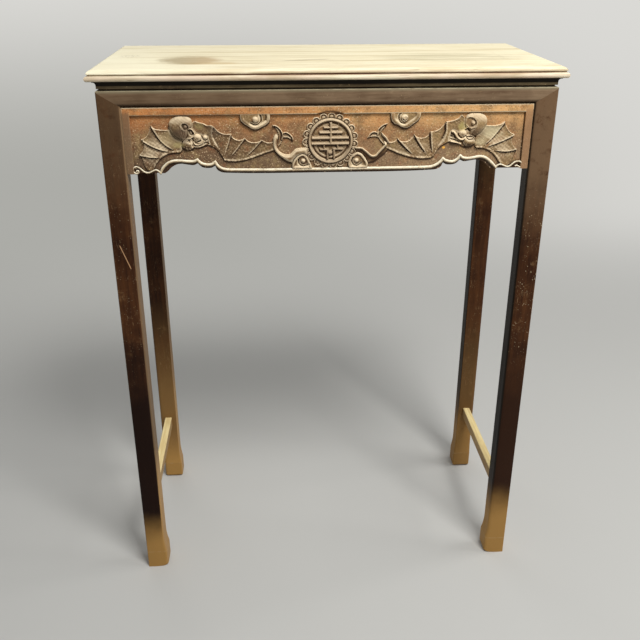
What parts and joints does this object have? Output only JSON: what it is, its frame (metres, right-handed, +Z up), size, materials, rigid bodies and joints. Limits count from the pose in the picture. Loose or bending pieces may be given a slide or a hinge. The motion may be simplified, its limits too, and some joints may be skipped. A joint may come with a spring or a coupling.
{
  "type": "chinese altar table",
  "caption": "Tall narrow wooden altar table with a moulded framed top, straight square legs, low end stretchers and a carved front apron with bats, clouds and a roundel.",
  "frame": {"origin": "middle of the four feet at floor level", "axes": "+Z up, -Y towards the carved front, +X along the long side to the right seen from the front"},
  "size_m": [0.818, 0.384, 1.05],
  "materials": {
    "frame_wood": "old dark brown lacquer stain, worn and scratched",
    "carved_wood": "old stained softwood, worn, with pale dust in the carving",
    "top_wood": "bare weathered wood with dust",
    "foot_wood": "oiled, lighter than the legs",
    "inner_wood": "unfinished"
  },
  "bodies": {
    "root": {"leg_front_left": "frame_wood", "leg_front_right": "frame_wood", "leg_back_left": "frame_wood", "leg_back_right": "frame_wood", "rail_front": "frame_wood", "rail_back": "frame_wood", "rail_left": "frame_wood", "rail_right": "frame_wood", "waist_front": "frame_wood", "waist_back": "frame_wood", "waist_left": "frame_wood", "waist_right": "frame_wood", "apron_back": "frame_wood", "apron_left": "frame_wood", "apron_right": "frame_wood", "stretcher_left": "frame_wood", "stretcher_right": "frame_wood", "apron_front": "carved_wood", "top_frame_front": "top_wood", "top_frame_back": "top_wood", "top_frame_left": "top_wood", "top_frame_right": "top_wood", "top_board_front": "top_wood", "top_board_back": "top_wood", "foot_front_left": "foot_wood", "foot_front_right": "foot_wood", "foot_back_left": "foot_wood", "foot_back_right": "foot_wood", "top_batten_left": "inner_wood", "top_batten_middle": "inner_wood", "top_batten_right": "inner_wood", "foot_dowels": "inner_wood"}
  },
  "joints": []
}
